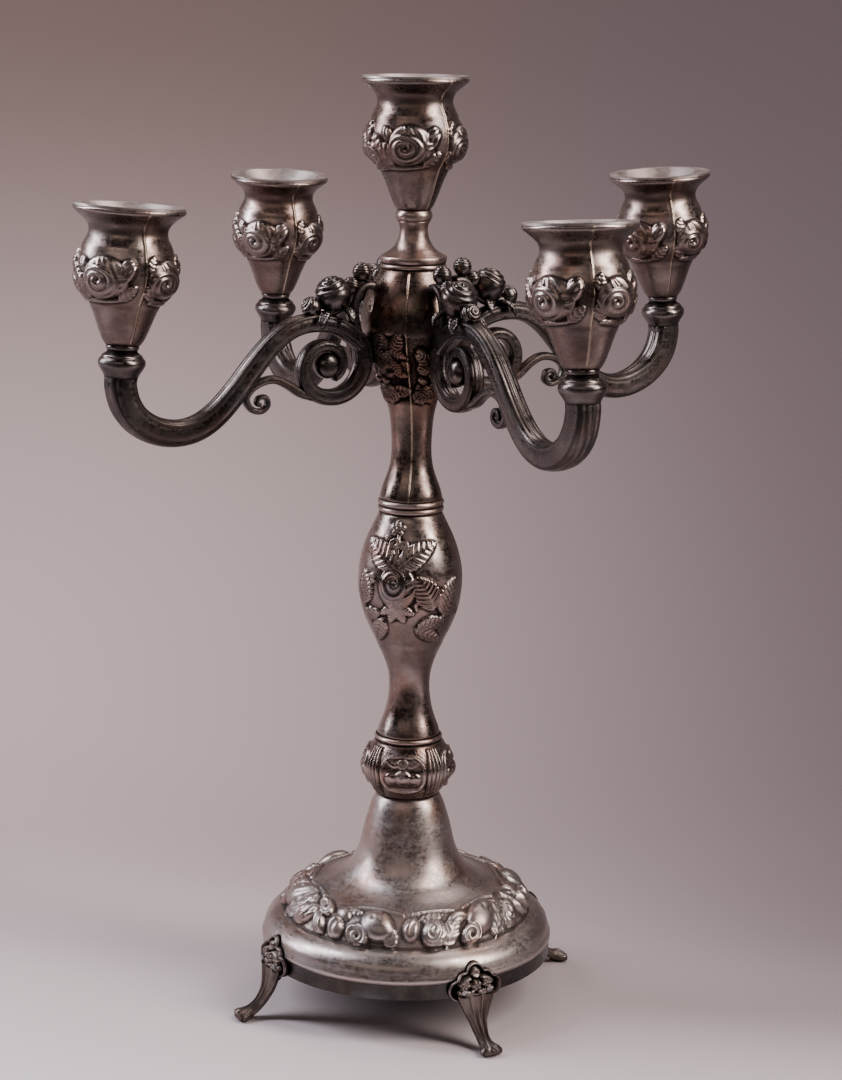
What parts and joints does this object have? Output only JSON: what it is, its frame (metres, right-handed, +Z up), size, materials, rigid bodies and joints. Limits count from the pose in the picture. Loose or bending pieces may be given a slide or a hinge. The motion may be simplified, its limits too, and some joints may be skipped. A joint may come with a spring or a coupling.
{
  "type": "tabletop candelabra",
  "caption": "Tabletop candelabra with a vase-shaped stem, round footed base, scrolled arms with rose sprays and embossed cups with lift-out candle nozzles.",
  "frame": {"origin": "on the table under the stem axis, level with the undersides of the feet", "axes": "+Z up along the stem, and the four arms towards +X, +Y, -X and -Y"},
  "size_m": [0.3215, 0.3216, 0.4305],
  "materials": {
    "base_plate": "silver plate over brass, worn satin with light tarnish",
    "pan_metal": "unpolished plate, darkened",
    "stem_plate": "silver plate over brass, brown tarnish in the relief",
    "cup_plate": "silver plate over brass, brown tarnish, rubbed bright on high spots",
    "nozzle_plate": "silver plate over brass, dull",
    "arm_casting": "cast brass, worn silver plate with brown tarnish",
    "foot_casting": "cast brass, worn silver plate, dark in the openwork",
    "steel": "dull zinc-plated steel"
  },
  "bodies": {
    "stand": {"base_dome": "base_plate", "base_pan": "pan_metal", "base_knop": "stem_plate", "knop_ring": "stem_plate", "lower_stem": "stem_plate", "stem_collar": "stem_plate", "stem_body": "stem_plate", "body_cap": "stem_plate", "cup_collar": "stem_plate", "cup_centre": "cup_plate", "tie_rod": "steel", "rod_nuts": "steel", "rod_washer": "steel", "cup_screws": "steel", "arm_screws": "steel", "foot_rivets": "foot_casting", "arm_right": "arm_casting", "rose_cluster_right": "arm_casting", "arm_collar_right": "arm_casting", "cup_right": "cup_plate", "foot_right": "foot_casting", "arm_rear": "arm_casting", "rose_cluster_rear": "arm_casting", "arm_collar_rear": "arm_casting", "cup_rear": "cup_plate", "foot_rear": "foot_casting", "arm_left": "arm_casting", "rose_cluster_left": "arm_casting", "arm_collar_left": "arm_casting", "cup_left": "cup_plate", "foot_left": "foot_casting", "arm_front": "arm_casting", "rose_cluster_front": "arm_casting", "arm_collar_front": "arm_casting", "cup_front": "cup_plate", "foot_front": "foot_casting"},
    "nozzle_centre": {"nozzle_centre": "nozzle_plate"},
    "nozzle_right": {"nozzle_right": "nozzle_plate"},
    "nozzle_rear": {"nozzle_rear": "nozzle_plate"},
    "nozzle_left": {"nozzle_left": "nozzle_plate"},
    "nozzle_front": {"nozzle_front": "nozzle_plate"}
  },
  "joints": [
    {"name": "lift_centre", "type": "slide", "parent": "stand", "child": "nozzle_centre", "axis": [0, 0, 1], "range_m": [0, 0.035]},
    {"name": "lift_right", "type": "slide", "parent": "stand", "child": "nozzle_right", "axis": [-0.0697, -0.0032, 0.9976], "range_m": [0, 0.035]},
    {"name": "lift_rear", "type": "slide", "parent": "stand", "child": "nozzle_rear", "axis": [0, -0.0698, 0.9976], "range_m": [0, 0.035]},
    {"name": "lift_left", "type": "slide", "parent": "stand", "child": "nozzle_left", "axis": [0.0698, 0, 0.9976], "range_m": [0, 0.035]},
    {"name": "lift_front", "type": "slide", "parent": "stand", "child": "nozzle_front", "axis": [0, 0.0698, 0.9976], "range_m": [0, 0.035]}
  ]
}
